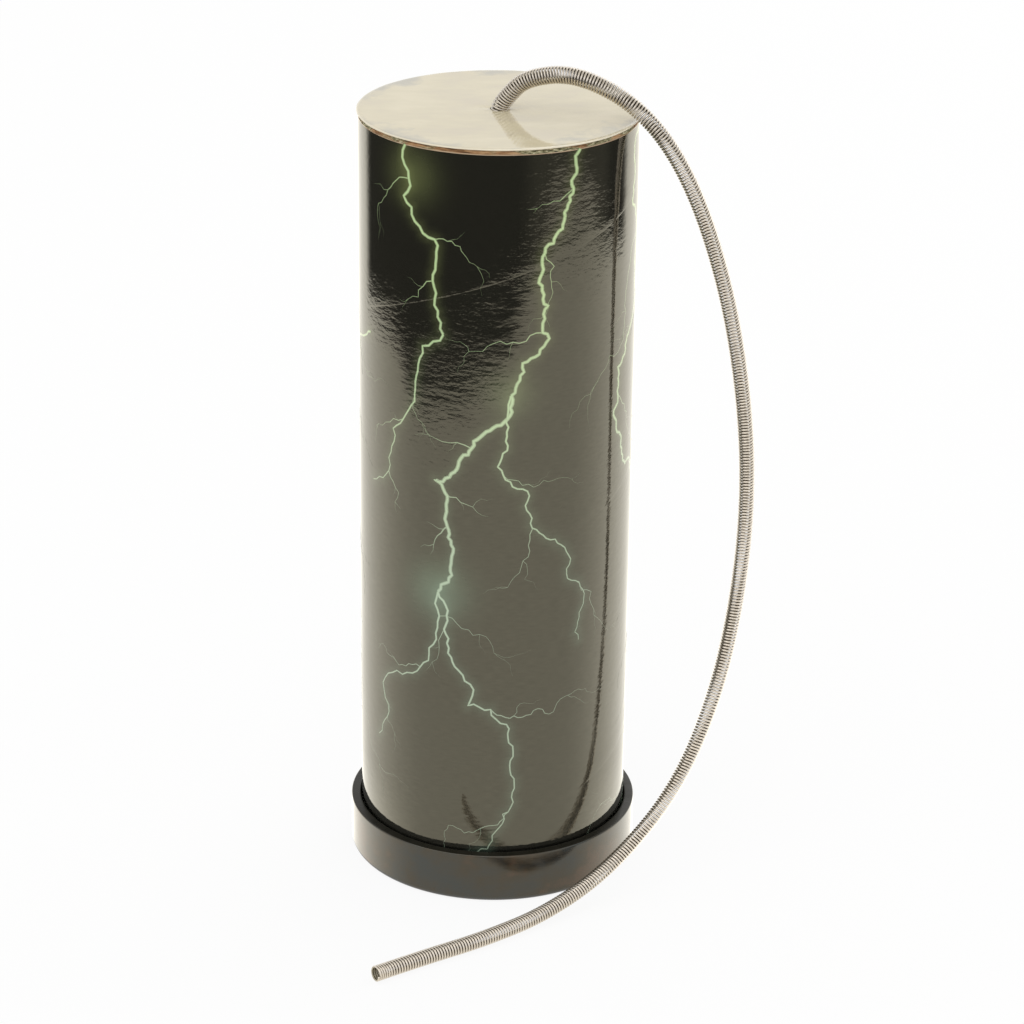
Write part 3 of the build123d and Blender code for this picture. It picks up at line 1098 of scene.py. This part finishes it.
def card_light(angle, run):
    """The floor card's light that the wall mirrors at an angle in degrees from the front, run metres out."""
    side = smooth_step(*CARD_SIDE_ANGLES, abs(angle))
    beside = CARD_RIGHT if angle > 0 else CARD_LEFT
    foot = side * (1 - smooth_step(*CARD_FOOT_RUNS, run)) * (CARD_FOOT - beside)
    bright = (CARD_FRONT + (beside - CARD_FRONT) * side + foot) * CARD_TINT
    haze = smooth_step(*HAZE_START, angle) * (1 - smooth_step(*HAZE_END, angle))
    room = DARK_ROOM + (HAZY_ROOM - DARK_ROOM) * haze
    height = np.interp(angle, *zip(*DARK_EDGE))
    edge = height * (-CAMERA_PLACE[1] - WRAP_R) / (CAMERA_PLACE[2] - height)
    left = smooth_step(DARK_LEFT - DARK_FADE, DARK_LEFT + DARK_FADE, angle)
    right = 1 - smooth_step(DARK_RIGHT - DARK_FADE, DARK_RIGHT + DARK_FADE, angle)
    dark = smooth_step((1 - DARK_BLUR) * edge, (1 + DARK_BLUR) * edge, run) * left * right
    return bright + (room - bright) * dark


def make_floor_card():
    """A bright card round the foot, along the lines that the wall mirrors, ending in the dark room."""
    points = []
    colours = []
    for degrees in CARD_ANGLES:
        angle = math.radians(degrees)
        way = 2 * angle if degrees <= 90 else math.pi
        mirror = min(degrees, 90) if degrees < 180 else -90
        for run in CARD_RUNS:
            x = RING_R * math.sin(angle) + run * math.sin(way)
            y = -RING_R * math.cos(angle) - run * math.cos(way)
            points.append((x, y, CARD_HEIGHT))
            colours.append(card_light(mirror, run))
    faces = grid_faces(len(CARD_ANGLES), len(CARD_RUNS), close_rows=True)
    card, tree, glow = add_card("floor_card", points, faces)
    paint(card, np.array(colours))
    tree.links.new(painted(tree), glow.inputs["Color"])


def make_overhead_card():
    _, _, glow = add_card("overhead_card", OVERHEAD_CORNERS, [(0, 1, 2, 3)])
    glow.inputs["Color"].default_value = OVERHEAD_COLOUR


def add_softbox(name, place, size, watts):
    lamp = bpy.data.lights.new(name, "AREA")
    lamp.shape = "SQUARE"
    lamp.size = size
    lamp.energy = watts
    box = add_object(name, lamp)
    box.location = place
    box.rotation_euler = (LAMP_AIM - Vector(place)).to_track_quat("-Z", "Y").to_euler()


def make_world():
    world = bpy.data.worlds.new("studio")
    bpy.context.scene.world = world
    world.use_nodes = True
    tree = world.node_tree
    background = tree.nodes["Background"]
    background.inputs["Color"].default_value = (1.0, 1.0, 1.0, 1)
    added = math_node(tree, "MULTIPLY", seen_directly(tree), 1 - WORLD_LIGHT)
    tree.links.new(math_node(tree, "ADD", added, WORLD_LIGHT), background.inputs["Strength"])


def make_camera():
    forward = Vector((
        math.sin(CAMERA_YAW) * math.cos(CAMERA_PITCH),
        math.cos(CAMERA_YAW) * math.cos(CAMERA_PITCH),
        -math.sin(CAMERA_PITCH),
    ))
    level_right = Vector((math.cos(CAMERA_YAW), -math.sin(CAMERA_YAW), 0))
    level_up = level_right.cross(forward)
    right = math.cos(CAMERA_ROLL) * level_right + math.sin(CAMERA_ROLL) * level_up
    up = math.cos(CAMERA_ROLL) * level_up - math.sin(CAMERA_ROLL) * level_right
    lens = bpy.data.cameras.new("camera")
    lens.lens = CAMERA_LENS
    lens.clip_start = CAMERA_CLIP
    camera = add_object("camera", lens)
    turn = Matrix((right, up, -forward)).transposed().to_4x4()
    camera.matrix_world = Matrix.Translation(CAMERA_PLACE) @ turn
    bpy.context.scene.camera = camera


build_object()
make_floor()
make_floor_card()
make_overhead_card()
add_softbox("key_light", place=(-0.6, -0.9, 1.6), size=2.2, watts=9.5)
add_softbox("back_light", place=(0.8, 1.1, 1.3), size=2.0, watts=9.0)
make_world()
make_camera()
bpy.context.scene.view_settings.view_transform = "Standard"
